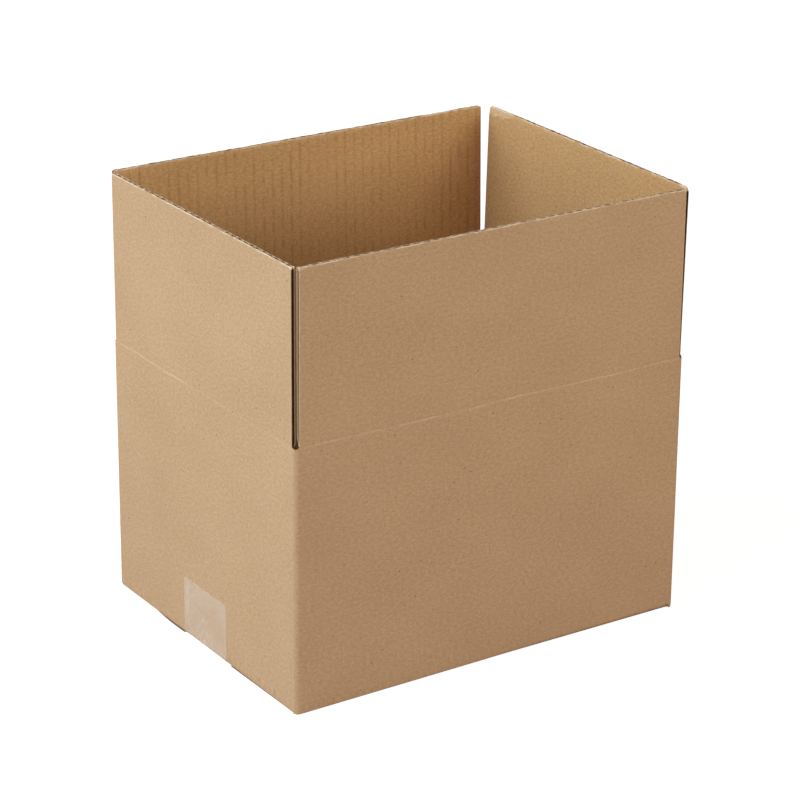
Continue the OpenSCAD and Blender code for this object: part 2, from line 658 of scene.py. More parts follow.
@dataclass
class Sheet:
    """A grid of points, columns by rows, on the outer and inner faces of a stretch of board.

    run and up are its flat-sheet coordinates. wear is the liners' outsides' paleness, from wearing
    and painted highlights, and bare that of the paper between them, 0 to 1.
    swell thickens the fluted sheet, and keep says which cells exist.
    """

    outer: np.ndarray
    inner: np.ndarray
    run: np.ndarray
    up: np.ndarray
    wear: np.ndarray
    bare: np.ndarray
    swell: np.ndarray = field(default_factory=lambda: np.ones((1, 1)))
    keep: "np.ndarray | None" = None

    def __post_init__(self) -> None:
        """Keeps all cells unless told otherwise."""
        if self.keep is None:
            self.keep = np.ones((self.outer.shape[0] - 1, self.outer.shape[1] - 1), bool)


class Finish(Enum):
    """Material slots of a liner piece. The tape has only the first."""

    OUTSIDE = 0
    INSIDE = 1
    HOLLOW = 2
    EDGE = 3


def quads(keep: np.ndarray) -> tuple[np.ndarray, np.ndarray, np.ndarray]:
    """Faces of a grid of points.

    Args:
        keep: Which cells exist.

    Returns:
        Point numbers of each face, and the column and the row of its cell.
    """
    i, j = np.nonzero(keep)
    rows = keep.shape[1] + 1
    first = i * rows + j
    return np.stack([first, first + 1, first + rows + 1, first + rows], axis=1), i, j


def cell_corners(run: np.ndarray, up: np.ndarray) -> np.ndarray:
    """Flat-sheet coordinates of the corners of each cell, from those of the points."""
    uv = np.stack(np.broadcast_arrays(run, up), axis=-1)
    return np.stack([uv[:-1, :-1], uv[:-1, 1:], uv[1:, 1:], uv[1:, :-1]], axis=2)


def store(mesh: bpy.types.Mesh, name: str, values: np.ndarray, kind: str = "FLOAT") -> None:
    """Stores numbers, or vectors, at the points of a mesh.

    Args:
        mesh: The mesh.
        name: The attribute's name.
        values: One for each point.
        kind: The attribute's type.
    """
    layer = mesh.attributes.new(name, kind, "POINT")
    entry = "value" if kind == "FLOAT" else "vector"
    layer.data.foreach_set(entry, values.reshape(-1).astype(np.float32))


def lay_flat(mesh: bpy.types.Mesh, uv: np.ndarray) -> None:
    """Gives the corners of a mesh's faces their flat-sheet coordinates."""
    layer = mesh.uv_layers.new(name="blank")
    layer.data.foreach_set("uv", uv.reshape(-1).astype(np.float32))


def soften(mesh: bpy.types.Mesh, degrees: float) -> None:
    """Shades a mesh smooth, but sharp at edges that turn by more than an angle."""
    mesh.shade_smooth()
    mesh.set_sharp_from_angle(angle=math.radians(degrees))


def add_object(name: str, data: bpy.types.ID) -> bpy.types.Object:
    """Makes an object at the origin and links it.

    Args:
        name: Its name.
        data: Its mesh, light or camera.

    Returns:
        The object.
    """
    thing = bpy.data.objects.new(name, data)
    bpy.context.collection.objects.link(thing)
    return thing


def report(piece: bpy.types.Object) -> None:
    """Logs a finished piece with its size in triangles."""
    piece.data.calc_loop_triangles()
    LOG.info("%s: %d triangles", piece.name, len(piece.data.loop_triangles))


class MeshParts:
    """Gathers closed sheets into one mesh."""

    INSIDE_SHIFT = 260       # flutes between the outside and the inside on the flat sheet
    RIM_WIDTH = 0.4 * MM     # of a rim on the flat sheet
    RELATIVE_LINER = 0.45    # the most of the board's thickness that a liner takes
    SIDES = ((0, 1, -1, 0), (1, 2, 0, 1), (2, 3, 1, 0), (3, 0, 0, -1))   # corners and neighbour

    def __init__(self) -> None:
        """Starts empty."""
        self.points: list[np.ndarray] = []
        self.faces: list[np.ndarray] = []
        self.uvs: list[np.ndarray] = []
        self.slots: list[np.ndarray] = []
        self.wear: list[np.ndarray] = []
        self.count = 0

    def sheet(self, front: np.ndarray, back: np.ndarray, uv: np.ndarray, keep: np.ndarray,
              wear_and_highlights: tuple[np.ndarray, np.ndarray], finishes: tuple[Finish, ...]) -> None:
        """Adds a closed sheet between two grids.

        Args:
            front: Points of the first face, columns by rows.
            back: Points of the second face.
            uv: Flat-sheet coordinates of each cell's four corners, in the order of the face.
            keep: Which cells exist.
            wear_and_highlights: Paleness at each point of the first face and of the second, from
                wearing and painted highlights.
            finishes: Of the first face, the second face, the end rims and the other rims.
        """
        slots = [finish.value for finish in finishes]
        shape = front.shape[:2]
        shift = shape[0] * shape[1]
        face, i, j = quads(keep)
        face = face + self.count
        cell_uv = uv[i, j]
        faces, coords = [face, face[:, ::-1] + shift], [cell_uv, cell_uv[:, ::-1]]
        kinds = [np.full(len(face), slot) for slot in slots[:2]]
        padded = np.pad(keep, 1)
        for a, b, di, dj in self.SIDES:
            open_side = ~padded[i + 1 + di, j + 1 + dj]
            first, second = face[open_side, a], face[open_side, b]
            faces.append(np.stack([second, first, first + shift, second + shift], axis=1))
            near = cell_uv[open_side][:, [b, a]]
            coords.append(np.concatenate([near, near[:, ::-1] + self.RIM_WIDTH], axis=1))
            kinds.append(np.full(len(first), slots[3 if dj else 2]))
        self.points += [front.reshape(-1, 3), back.reshape(-1, 3)]
        self.wear += [np.broadcast_to(wear, shape).reshape(-1) for wear in wear_and_highlights]
        self.faces.append(np.concatenate(faces))
        self.uvs.append(np.concatenate(coords))
        self.slots.append(np.concatenate(kinds))
        self.count += 2 * shift

    def liners(self, board: Board, sheet: Sheet, rim: Finish = Finish.EDGE) -> None:
        """Adds a stretch's outer and inner liner.

        Args:
            board: The board's sizes.
            sheet: The stretch.
            rim: Finish of the rims that run across the flutes.
        """
        span = sheet.inner - sheet.outer
        gap = np.linalg.norm(span, axis=-1, keepdims=True)
        skin = span / gap * np.minimum(board.liner, gap * self.RELATIVE_LINER)
        uv = cell_corners(sheet.run, sheet.up)
        inside_uv = uv + np.array([self.INSIDE_SHIFT * board.pitch, 0.0])
        self.sheet(sheet.inner, sheet.inner - skin, inside_uv, sheet.keep, (sheet.wear, sheet.bare),
                   (Finish.INSIDE, Finish.HOLLOW, Finish.EDGE, rim))
        self.sheet(sheet.outer + skin, sheet.outer, uv, sheet.keep, (sheet.bare, sheet.wear),
                   (Finish.HOLLOW, Finish.OUTSIDE, Finish.EDGE, rim))

    def object(self, name: str, materials: list[bpy.types.Material]) -> bpy.types.Object:
        """Makes the object.

        Args:
            name: The piece's name.
            materials: Its material slots.

        Returns:
            The linked object.
        """
        points, faces = np.concatenate(self.points), np.concatenate(self.faces)
        used = np.unique(faces)
        lookup = np.zeros(len(points), int)
        lookup[used] = np.arange(len(used))
        mesh = bpy.data.meshes.new(name)
        mesh.from_pydata(points[used].tolist(), [], lookup[faces].tolist())
        lay_flat(mesh, np.concatenate(self.uvs))
        slots = np.concatenate(self.slots).astype(np.int32)
        mesh.polygons.foreach_set("material_index", slots)
        store(mesh, "wear", np.concatenate(self.wear)[used])
        for material in materials:
            mesh.materials.append(material)
        soften(mesh, 40)
        mesh.update()
        return add_object(name, mesh)


class FlutePress:
    """Geometry Nodes that press a flat carrier into the fluted sheet between two liners."""

    SOCKETS = {"Geometry": "NodeSocketGeometry", "Pitch": "NodeSocketFloat",
               "Liner": "NodeSocketFloat", "Medium": "NodeSocketFloat",
               "Paper": "NodeSocketMaterial"}
    WELD = 0.001 * MM

    def __init__(self, board: Board, paper: bpy.types.Material) -> None:
        """Builds the tree.

        Args:
            board: The board's sizes.
            paper: The fluted sheet's material.
        """
        tree = bpy.data.node_groups.new("press_flutes", "GeometryNodeTree")
        given = {"Pitch": board.pitch, "Liner": board.liner, "Medium": board.medium, "Paper": paper}
        self.settings = {}
        for name, kind in self.SOCKETS.items():
            socket = tree.interface.new_socket(name, in_out="INPUT", socket_type=kind)
            if name in given:
                self.settings[socket.identifier] = given[name]
        tree.interface.new_socket("Geometry", in_out="OUTPUT", socket_type="NodeSocketGeometry")
        self.nodes = Nodes(tree)
        self._fill()

    def _scaled(self, vector: Value, by: Value) -> bpy.types.Node:
        """Scales a vector."""
        inputs = {0: vector, "Scale": by}
        return self.nodes.node("ShaderNodeVectorMath", {"operation": "SCALE"}, inputs)

    def _stored(self, name: str, kind: str = "FLOAT") -> Value:
        """What the carrier stores under a name."""
        settings, inputs = {"data_type": kind}, {"Name": name}
        return self.nodes.value("GeometryNodeInputNamedAttribute", settings, inputs)

    def _fill(self) -> None:
        """Adds the nodes: a cosine wave across the span, then a thickness along it."""
        b = self.nodes
        given = b.node("NodeGroupInput", {}, {}).outputs
        pitch, liner, medium = (Value(b, given[name]) for name in ("Pitch", "Liner", "Medium"))
        span = self._stored("span", "FLOAT_VECTOR")
        gap = b.value("ShaderNodeVectorMath", {"operation": "LENGTH"}, {0: span}, "Value")
        wave = (self._stored("run") / pitch * TURN).cosine()
        thick = medium * self._stored("swell")
        swing = ((gap - (liner * 2.0 + thick)) * 0.5).larger(0.0) / gap
        half = thick * 0.5 / gap
        pressed = b.node("GeometryNodeSetPosition", {}, {
            "Geometry": given["Geometry"], "Offset": self._scaled(span, swing * wave + 0.5 - half)})
        upper = b.node("GeometryNodeExtrudeMesh", {"mode": "FACES"}, {
            "Mesh": pressed, "Offset": self._scaled(span, half * 2.0), "Offset Scale": 1.0,
            "Individual": False})
        under = b.node("GeometryNodeFlipFaces", {}, {"Mesh": pressed})
        joined = b.node("GeometryNodeJoinGeometry", {}, {0: [upper, under]})
        welded = b.node("GeometryNodeMergeByDistance", {}, {
            "Geometry": joined, "Distance": self.WELD})
        real = b.node("GeometryNodeRealizeInstances", {}, {"Geometry": welded})
        coated = b.node("GeometryNodeSetMaterial", {}, {
            "Geometry": real, "Material": given["Paper"]})
        b.node("NodeGroupOutput", {}, {0: coated})

    def press(self, name: str, sheet: Sheet) -> bpy.types.Object:
        """Makes the fluted sheet of a stretch of board.

        Args:
            name: The piece's name.
            sheet: The stretch, with at least eight columns a flute.

        Returns:
            The linked object with a plain mesh.
        """
        face, i, j = quads(sheet.keep)
        mesh = bpy.data.meshes.new(name + "_carrier")
        mesh.from_pydata(sheet.outer.reshape(-1, 3).tolist(), [], face.tolist())
        store(mesh, "span", sheet.inner - sheet.outer, "FLOAT_VECTOR")
        for kind, values in (("run", sheet.run), ("wear", sheet.bare), ("swell", sheet.swell)):
            store(mesh, kind, np.broadcast_to(values, sheet.outer.shape[:2]))
        lay_flat(mesh, cell_corners(sheet.run, sheet.up)[i, j])
        carrier = add_object(name, mesh)
        modifier = carrier.modifiers.new("press", "NODES")
        modifier.node_group = self.nodes.tree
        for socket, setting in self.settings.items():
            modifier[socket] = setting
        seen = bpy.context.evaluated_depsgraph_get()
        plain = bpy.data.meshes.new_from_object(carrier.evaluated_get(seen), depsgraph=seen)
        plain.name = name
        carrier.modifiers.clear()
        carrier.data = plain
        bpy.data.meshes.remove(mesh)
        soften(plain, 50)
        return carrier


class Workshop:
    """The finishes and tools that the pieces share."""

    def __init__(self, board: Board) -> None:
        """Makes the materials and the press.

        Args:
            board: The board's sizes.
        """
        pitch, right = board.pitch, board.panel(Side.RIGHT)
        inside = MeshParts.INSIDE_SHIFT * pitch
        plain = [inside + board.run(right, s) for s in (-board.half_w, board.half_w)]
        self.liner_slots = [
            KraftFinish("kraft_outside", linear(177, 140, 105), linear(210, 176, 143),
                        linear(236, 216, 190), pitch, mottling=0.62).material(),
            KraftFinish("kraft_inside", linear(189, 147, 98), linear(224, 184, 135),
                        linear(240, 220, 190), pitch, mottling=0.90, streaks=0.46, washboard=0.30,
                        plain_from=plain[0], plain_to=plain[1]).material(),
            # The backs of the liners get a dark colour as painted shade of the cavities inside the
            # board.
            RawPaperFinish("liner_back", linear(98, 74, 50), linear(132, 104, 74),
                           linear(236, 204, 162), pitch).material(),
            RawPaperFinish("cut_edge", linear(158, 128, 96), linear(204, 178, 146),
                           linear(248, 232, 212), pitch, cells=1400.0, breaks=0.4).material(),
        ]
        # The fluted paper gets a dark colour as painted shade of the cavities inside the board.
        paper = RawPaperFinish("fluted_paper", linear(92, 68, 46), linear(128, 98, 68),
                               linear(232, 196, 156), pitch).material()
        self.tape = TapeFinish("tape_film", linear(250, 232, 216)).material()
        self.flutes = FlutePress(board, paper)

    def board_pieces(self, name: str, node: str, parts: MeshParts,
                     ribbed: Sheet) -> tuple[bpy.types.Object, bpy.types.Object]:
        """Makes the two pieces of a stretch of board, in place of a CAD node.

        Args:
            name: Start of the pieces' names.
            node: The node.
            parts: The liners, and what is glued to them.
            ribbed: The stretch with columns for the flutes.

        Returns:
            The liners and the fluted sheet, which don't ride on a body yet.
        """
        cover = parts.object(f"{name}_liners", self.liner_slots)
        ribs = self.flutes.press(f"{name}_flutes", ribbed)
        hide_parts(node)
        for piece in (cover, ribs):
            report(piece)
        return cover, ribs


@dataclass
class Damage:
    """A crushed or torn stretch of a flap's free edge."""

    middle: float
    half: float
    soft: float
    outer_drop: float = 0.0
    inner_drop: float = 0.0
    pinch: float = 0.0
    bare: float = 0.0
    scuff: float = 0.0
    lip: float = 0.0

    def share(self, s: np.ndarray) -> np.ndarray:
        """How far each place across the flap is inside the stretch, 0 to 1."""
        return smooth((self.half - np.abs(s - self.middle)) / self.soft)


@dataclass
class TopFlap:
    """A top flap with its score and the strip of wall just below it.

    corner_low and corner_high are radii, settle_low and settle_high turn its ends upright by so
    many degrees, longer adds length at its low end, and pressed_ends bares its pressed ends.
    """

    EDGE_ROWS = np.array([4.4, 3.9, 3.4, 2.9, 2.4, 1.95, 1.55, 1.2, 0.9, 0.6, 0.35, 0.15, 0.0]) * MM
    COARSE_EDGE_ROWS = np.array([4.0, 1.5, 0.35, 0.0]) * MM
    END_COLUMNS = np.array([0.0, 0.3, 0.65, 1.05, 1.6, 2.3]) * MM

    board: Board
    panel: Panel
    seam_z: float
    seed: int
    damage: list[Damage]
    edge_zone: float = 4.0 * MM
    lip_zone: float = 1.7 * MM
    burr: float = 0.9 * MM
    end_zone: float = 1.3 * MM
    pressed_zone: float = 2.6 * MM
    groove: float = 0.16 * MM
    half_fold: float = 3.0 * MM
    torn_ply: float = 0.36 * MM
    corner_low: float = 0.7 * MM
    corner_high: float = 0.7 * MM
    settle_low: float = 0.0
    settle_high: float = 0.0
    longer: float = 0.0
    pressed_ends: float = 0.0

    def __post_init__(self) -> None:
        """Works out where the flap's low end is, and its unevenness."""
        self.low, self.high = self.panel.low - self.longer, self.panel.high
        self.rough, self.fine = Unevenness(self.seed), Unevenness(self.seed + 50)

    def _rows(self, coarse: bool) -> np.ndarray:
        """Heights of the rows, close together at the score and the free edge.

        Args:
            coarse: True for fewer rows.

        Returns:
            The heights.
        """
        top, past_score = self.board.flap_top, self.panel.hinge_z + self.board.band
        pace, steps, edge = (1.1, 4, self.COARSE_EDGE_ROWS) if coarse else (0.55, 9, self.EDGE_ROWS)
        score = np.arange(self.seam_z + 2 * MM, past_score + 1 * MM, pace * MM)
        body = np.linspace(past_score + 3 * MM, top - self.edge_zone - 2 * MM, steps)
        return np.concatenate([[self.seam_z], score, body, top - edge])

    def _columns(self, step: float) -> np.ndarray:
        """Places of the columns, close together at the two ends.

        Args:
            step: Width of a column between the ends.

        Returns:
            Distances across the flutes, as a column.
        """
        low, high, tight = self.low, self.high, self.END_COLUMNS
        inset = 3.2 * MM
        middle = np.linspace(low + inset, high - inset, int((high - low) / step) + 1)
        return np.concatenate([low + tight, middle, high - tight[::-1]])[:, None]

    def _rounding(self, s: np.ndarray) -> np.ndarray:
        """How much lower the free edge is at its two rounded corners.

        Args:
            s: Distance across the flutes.

        Returns:
            The drop at each place.
        """
        drop = np.zeros_like(s)
        for gap, radius in ((s - self.low, self.corner_low), (self.high - s, self.corner_high)):
            inside = np.clip(radius - gap, 0.0, radius)
            drop = drop + radius - np.sqrt(radius ** 2 - inside ** 2)
        return drop

    def _leaned(self, s: np.ndarray, d: np.ndarray, z: np.ndarray) -> np.ndarray:
        """Places points of the flap, leaning out as at rest and settled more upright at the ends.

        Args:
            s: Distance across the flutes.
            d: Depth from the outer face.
            z: Height.

        Returns:
            Points in the frame.
        """
        panel = self.panel
        share = (s - panel.low) / (panel.high - panel.low)
        settle = np.radians(self.settle_low * (1 - share) + self.settle_high * share)
        depth, height = panel.leaned(d, z)
        rise = np.clip(z - panel.hinge_z, 0.0, None)
        return panel.place(s, depth + rise * np.sin(settle), height)

    def _score_marks(self, s: np.ndarray, z: np.ndarray) -> tuple[np.ndarray, np.ndarray]:
        """Marks of the score.

        Args:
            s: Distance across the flutes.
            z: Height.

        Returns:
            The score's groove, and a pale line along it that is a painted highlight, each 0 to 1.
        """
        rough, above = self.rough, z - self.board.score_z
        wander = (0.55 * rough.at(s, 0.15, 19 * MM) + 0.25 * self.fine.at(s, 0.25, 6 * MM)) * MM
        # The pale line is a painted highlight of the score, patchy along it.
        highlight_patchiness = 0.62 + 0.38 * rough.at(s, 0.35, 12 * MM)
        return ridge(above, 0.9 * MM), ridge(above - wander, 0.42 * MM) * highlight_patchiness

    def _torn(self, s: np.ndarray, below: np.ndarray) -> tuple[np.ndarray, np.ndarray]:
        """Where the free edge's outer ply is torn off.

        Args:
            s: Distance across the flutes.
            below: Depth below the free edge.

        Returns:
            The scuff of the paper there, and how far it lies beneath the ply.
        """
        scuff = step = np.zeros(np.broadcast_shapes(s.shape, below.shape))
        for spot in self.damage:
            share = spot.share(s)
            depth = spot.lip * share * (1.0 + 0.16 * self.rough.at(s, 0.4, 6 * MM)) - below
            inside = smooth(depth / (0.6 * MM) + 0.5) * smooth(share * 8)
            border = ridge(depth, 0.36 * MM) * smooth(share * 3) * (spot.lip > 0)
            fuzzy = 0.65 + 0.45 * self.fine.at(s, 0.1, 3 * MM)
            scuff = np.maximum(scuff, spot.scuff * (0.35 + 0.65 * share) * inside)
            scuff = np.maximum(scuff, 0.85 * border * fuzzy)
            step = np.maximum(step, inside * self.torn_ply)
        return scuff, step

    def sheet(self, step: float, coarse: bool) -> Sheet:
        """The flap's outer and inner face.

        Args:
            step: Width of a column.
            coarse: True for the fluted sheet, which needs fewer rows and lies a little lower.

        Returns:
            The stretch of board.
        """
        panel, board, rough, fine = self.panel, self.board, self.rough, self.fine
        s, z = self._columns(step), self._rows(coarse)[None, :]
        below, from_end = board.flap_top - z, np.minimum(s - self.low, self.high - s)
        near_top, lip = within(below, self.edge_zone), within(below, self.lip_zone)
        near_end = within(from_end, self.end_zone)
        pressed_end = within(from_end, self.pressed_zone) * self.pressed_ends

        tucked = rough.bumps(s, z, 9 * MM) * 0.35 + fine.bumps(s, z, 2.5 * MM) * 0.25
        pinch = tucked * MM * np.maximum(near_top, near_end * 0.5)
        pinch = pinch + (0.60 + 0.25 * fine.at(s, 0.6, 5 * MM)) * MM * lip
        corner = self._rounding(s)
        outer_drop = 0.15 + 0.15 * fine.at(s, 0.3, 1.9 * MM) + 0.06 * rough.at(s, 0.1, 14 * MM)
        inner_drop = 0.17 + 0.15 * fine.at(s, 0.7, 2.2 * MM) + 0.06 * rough.at(s, 0.2, 11 * MM)
        outer_drop, inner_drop = outer_drop * MM + corner, inner_drop * MM + corner
        ragged = 1.0 + 0.30 * fine.at(s, 0.5, 3.1 * MM)
        bare = within(below, 1.1 * MM) if coarse else 0.95 * within(below, 1.5 * MM)
        bare = np.maximum(bare, np.maximum(near_end * 0.9, pressed_end) if coarse else pressed_end)
        for spot in self.damage:
            share = spot.share(s)
            outer_drop = outer_drop + spot.outer_drop * share * ragged
            inner_drop = inner_drop + spot.inner_drop * share * ragged
            pinch = pinch + spot.pinch * share * near_top
            bare = np.maximum(bare, spot.bare * share * near_top ** 0.5)
        pinch = pinch * (1.0 - 0.75 * near_end)
        if coarse:
            outer_drop = inner_drop = (np.maximum(outer_drop, inner_drop)
                                       + (0.04 + 0.10 * rough.at(s, 0.9, 5 * MM)) * MM)

        # The second mark is a painted highlight along the score.
        groove, line = self._score_marks(s, z)
        scuff, torn = self._torn(s, below)
        crush = smooth(np.abs(z - panel.hinge_z) / board.band)
        outer_d = groove * self.groove + pinch * 0.35 + torn * (not coarse)
        inner_d = board.score + (board.thickness - board.score) * crush - pinch - torn
        outer, inner = (self._leaned(s, d, z - np.maximum(drop, 0) * near_top)
                        for d, drop in ((outer_d, outer_drop), (inner_d, inner_drop)))
        # A pale band along the free edge: partly its real frayed burr, partly a painted highlight
        # of the edge.
        frayed = 0.78 + 0.75 * fine.at(s, 0.9, 2.7 * MM) + 0.35 * rough.at(s, 0.8, 9 * MM)
        burr = within(below, self.burr) * frayed
        wear = np.clip(0.05 * groove + 0.52 * line + burr + 0.12 * near_end + scuff, 0, 1)
        swell = 1.0 + 1.5 * within(below, 1.3 * MM) * (0.75 + 0.5 * fine.at(s, 0.2, 4 * MM))
        return Sheet(outer, inner, board.run(panel, s), z, wear, bare, swell)

    def build(self, workshop: Workshop) -> None:
        """Makes the flap's liners and fluted sheet.

        Args:
            workshop: The shared finishes and tools.
        """
        board, node = self.board, self.panel.side.flap
        parts = MeshParts()
        parts.liners(board, self.sheet(board.column, False))
        ribbed = self.sheet(board.pitch / board.columns_a_flute, True)
        hinge = self.panel.place(0.0, 0.0, self.panel.hinge_z)
        start, end = hinge - (0, 0, self.half_fold), hinge + (0, 0, self.half_fold)
        for piece in workshop.board_pieces(node, node, parts, ribbed):
            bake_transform(piece)


@dataclass
class Walls:
    """The four walls in one band round the box, from the glued joint's fold to its free edge."""

    FOOT_ROWS = np.array([0.0, 0.9, 2.0, 3.6, 5.4]) * MM
    ORDER = (Side.BACK, Side.LEFT, Side.FRONT, Side.RIGHT)

    board: Board
    seam_low: float
    seam_high: float
    slot_low: float
    slot_high: float
    calm_low: float
    arc_steps: int = 8
    column: float = 4.0 * MM
    rows: int = 26
    ribbed_rows: int = 3
    dent: float = 0.45 * MM
    torn_foot: float = 2.9 * MM
    raised_slot: float = 1.5 * MM
    curl: float = 0.2 * MM
    tab_width: float = 35 * MM
    tab_margin: float = 6 * MM
    tab_taper: float = 9 * MM

    def stations(self, step: float) -> tuple[np.ndarray, np.ndarray, np.ndarray, np.ndarray]:
        """Plan of the band.

        Args:
            step: Width of a column on the flat walls.

        Returns:
            Outer points, inner points, sides' numbers and whether each station lies in a corner.
        """
        board, t = self.board, self.board.thickness
        outer, inner, number, corner = [], [], [], []
        for index, side in enumerate(self.ORDER):
            panel = board.panel(side)
            half = board.half_l if side.is_long else board.half_w
            start = -half + (2 * t if side is self.ORDER[0] else t)
            centre = panel.place(start, t, 0.0)
            before = self.ORDER[max(index - 1, 0)]
            for k in range(self.arc_steps + 1):
                turn = k / self.arc_steps * QUARTER
                ray = -side.along * math.cos(turn) - side.inward * math.sin(turn)
                outer.append(centre + ray * t)
                inner.append(centre + ray * board.inner_bend)
                number.append(side.value if 2 * k >= self.arc_steps else before.value)
                corner.append(True)
            low, high = panel.low, panel.high
            flats = [low, *np.linspace(low, high, int((high - low) / step) + 1)[1:-1], high]
            if side is self.ORDER[-1]:
                flats.append(half - board.joint_gap)
            for s in flats:
                outer.append(panel.place(s, 0.0, 0.0))
                inner.append(panel.place(s, t, 0.0))
                number.append(side.value)
                corner.append(s <= low or s >= high)
        return np.array(outer), np.array(inner), np.array(number), np.array(corner)

    def _heights(self, outer: np.ndarray, corner: np.ndarray, z: np.ndarray) -> np.ndarray:
        """Heights of the grid: the back left corner's foot is torn, and slots end in a round.

        Args:
            outer: Plan points.
            corner: Which of them lie in a corner.
            z: Heights of the rows.

        Returns:
            A height for each point of the grid.
        """
        torn = corner & (outer[:, 0] < 0) & (outer[:, 1] > 0)
        foot = np.clip(1.0 - (z - self.slot_low) / (self.seam_low - self.slot_low), 0.0, 1.0)
        head = np.clip((z - self.slot_high + 2 * MM) / (2 * MM), 0.0, 1.0)
        x, y = self._from_faces(outer)
        off_fold = np.clip(np.abs(x - y) / self.board.inset, 0.0, 1.0)
        raised = self.torn_foot * torn[:, None] * foot[None, :]
        return z[None, :] + raised + self.raised_slot * (off_fold ** 2)[:, None] * head[None, :]

    def _from_faces(self, points: np.ndarray) -> tuple[np.ndarray, np.ndarray]:
        """Distance of each plan point from the short walls' faces and from the long walls'."""
        return self.board.half_l - np.abs(points[:, 0]), self.board.half_w - np.abs(points[:, 1])

    def sheet(self, step: float, rows: int) -> Sheet:
        """The band's outer and inner face.

        Args:
            step: Width of a column on the flat walls.
            rows: Number of rows between the seams.

        Returns:
            The stretch of board.
        """
        board, dents = self.board, Unevenness(5)
        outer, inner, number, corner = self.stations(step)
        run = np.empty(len(outer))
        for panel in board.panels:
            mine = number == panel.side.value
            run[mine] = board.run(panel, outer[mine] @ panel.side.along)
        feet = self.slot_low + self.FOOT_ROWS
        z = np.concatenate([feet, np.linspace(self.seam_low, self.seam_high, rows),
                            [self.slot_high]])
        heights = self._heights(outer, corner, z)
        from_corner = np.maximum(*self._from_faces(outer))

        fade = smooth((z - self.calm_low) / (30 * MM)) * smooth((self.seam_high - z) / (35 * MM))
        flat = smooth(from_corner / (30 * MM))
        bulge = 0.5 + 0.5 * dents.at(run[:, None], z[None, :], 62 * MM)
        depth = bulge * self.dent * fade[None, :] * flat[:, None]
        span = inner - outer
        inward = np.array([board.panels[n].side.inward for n in number])
        outside = outer[:, None, :] + inward[:, None, :] * depth[..., None]
        outside[..., 2] += heights
        inside = outside + span[:, None, :]
        curl = np.clip(1.0 - (z - self.slot_low) / (3 * MM), 0, 1) ** 2 * self.curl
        tuck = span / np.linalg.norm(span, axis=1, keepdims=True)
        outside = outside + tuck[:, None, :] * curl[None, :, None] * corner[:, None, None]

        keep = np.ones((len(outer) - 1, z.size - 1), bool)
        on_wall = ~(corner[:-1] & corner[1:])
        keep[on_wall, :feet.size] = False
        keep[on_wall, -1] = False
        along = lengths(outer[:, 0], outer[:, 1])
        fold = np.maximum(0.0, 1.0 - from_corner / board.thickness) * 0.22
        patchy = 0.6 + 0.4 * dents.at(along[:, None], z[None, :], 9 * MM)
        wear = np.clip(fold[:, None] * patchy, 0, 1)
        return Sheet(outside, inside, run[:, None], heights, wear, np.zeros_like(wear), keep=keep)

    def build(self, workshop: Workshop) -> None:
        """Makes the band's liners, with the glue tab, and its fluted sheet.

        Args:
            workshop: The shared finishes and tools.
        """
        board, parts = self.board, MeshParts()
        parts.liners(board, self.sheet(self.column, self.rows), Finish.HOLLOW)
        self._tab(parts)
        ribbed = self.sheet(board.pitch / board.columns_a_flute, self.ribbed_rows)
        for piece in workshop.board_pieces("walls", "box_body", parts, ribbed):
            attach(piece, "carton")

    def _tab(self, parts: MeshParts) -> None:
        """Adds the glue tab, flat inside the right wall and tapered to its free edge.

        Args:
            parts: Where it goes.
        """
        board, panel = self.board, self.board.panel(Side.RIGHT)
        t, taper = board.thickness, self.tab_taper
        share = np.linspace(0.0, 1.0, 19)[:, None]
        rise = np.linspace(0.0, 1.0, 15)[None, :]
        s = board.half_w - t - self.tab_width * share
        bottom = panel.foot_z + t + self.tab_margin + taper * share
        head = panel.hinge_z - board.band - self.tab_margin - taper * share
        z = bottom + (head - bottom) * rise
        crushed = 0.7 * smooth((share - 0.85) / 0.15) + 0.125 * (
            1 + Unevenness(8).at(s, z, 18 * MM))
        outer = panel.place(s, t, z)
        inner = panel.place(s, 2 * t - crushed * MM, z)
        wear = 0.5 * smooth((share - 0.93) / 0.07)
        uv = cell_corners(board.run(panel, s) + 3 * board.pitch, z)
        parts.sheet(outer, inner, uv, np.ones((share.size - 1, rise.size - 1), bool), (wear, wear),
                    (Finish.OUTSIDE, Finish.INSIDE, Finish.EDGE, Finish.EDGE))


